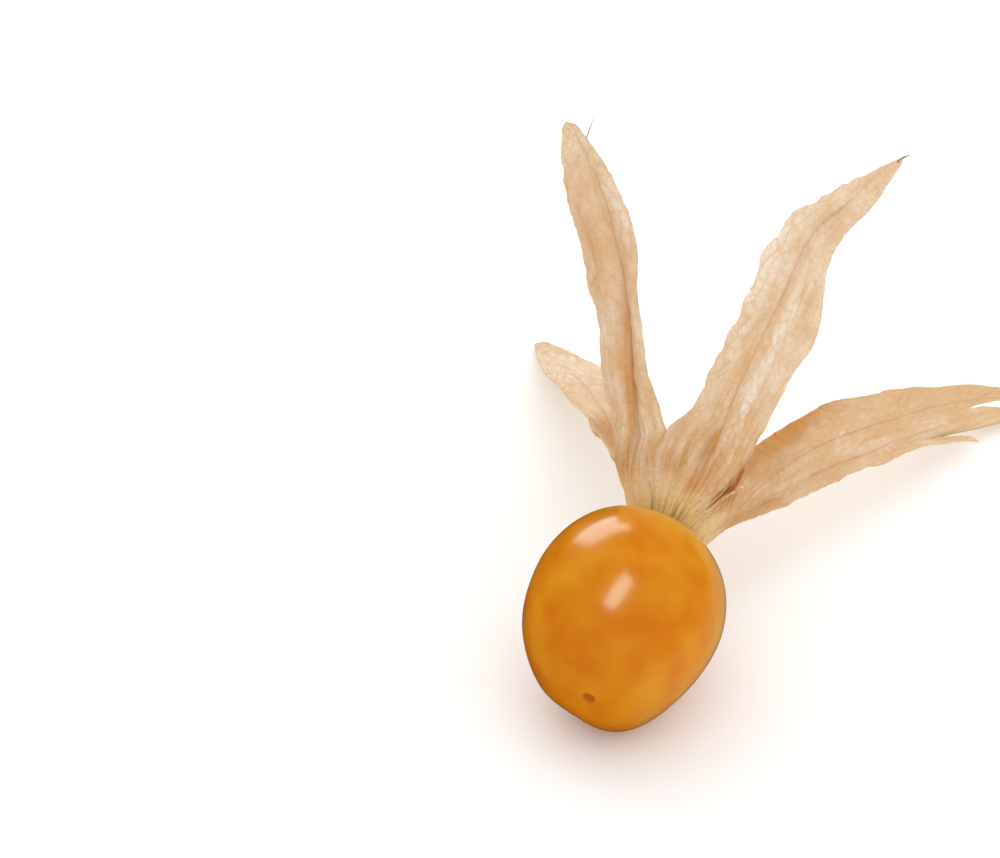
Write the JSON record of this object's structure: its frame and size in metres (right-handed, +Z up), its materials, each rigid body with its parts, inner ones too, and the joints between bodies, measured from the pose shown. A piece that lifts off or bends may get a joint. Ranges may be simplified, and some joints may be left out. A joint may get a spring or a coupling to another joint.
{
  "type": "physalis berry",
  "caption": "Ripe round fruit lying on its side, its papery husk torn into lobes and folded back round a short stalk.",
  "frame": {"origin": "on the flat spot that the berry rests on, straight below the middle of the berry", "axes": "+Z up; the flower scar end of the berry points towards -Y, and the stalk and husk point towards +Y, 22 degrees round towards +X"},
  "size_m": [0.0504, 0.0642, 0.0395],
  "materials": {
    "berry": "smooth thin skin with a soft gloss",
    "husk": "dry, matt and slightly see-through",
    "stalk": "dry, matt"
  },
  "bodies": {
    "root": {"berry": "berry", "husk": "husk", "stalk": "stalk"}
  },
  "joints": []
}
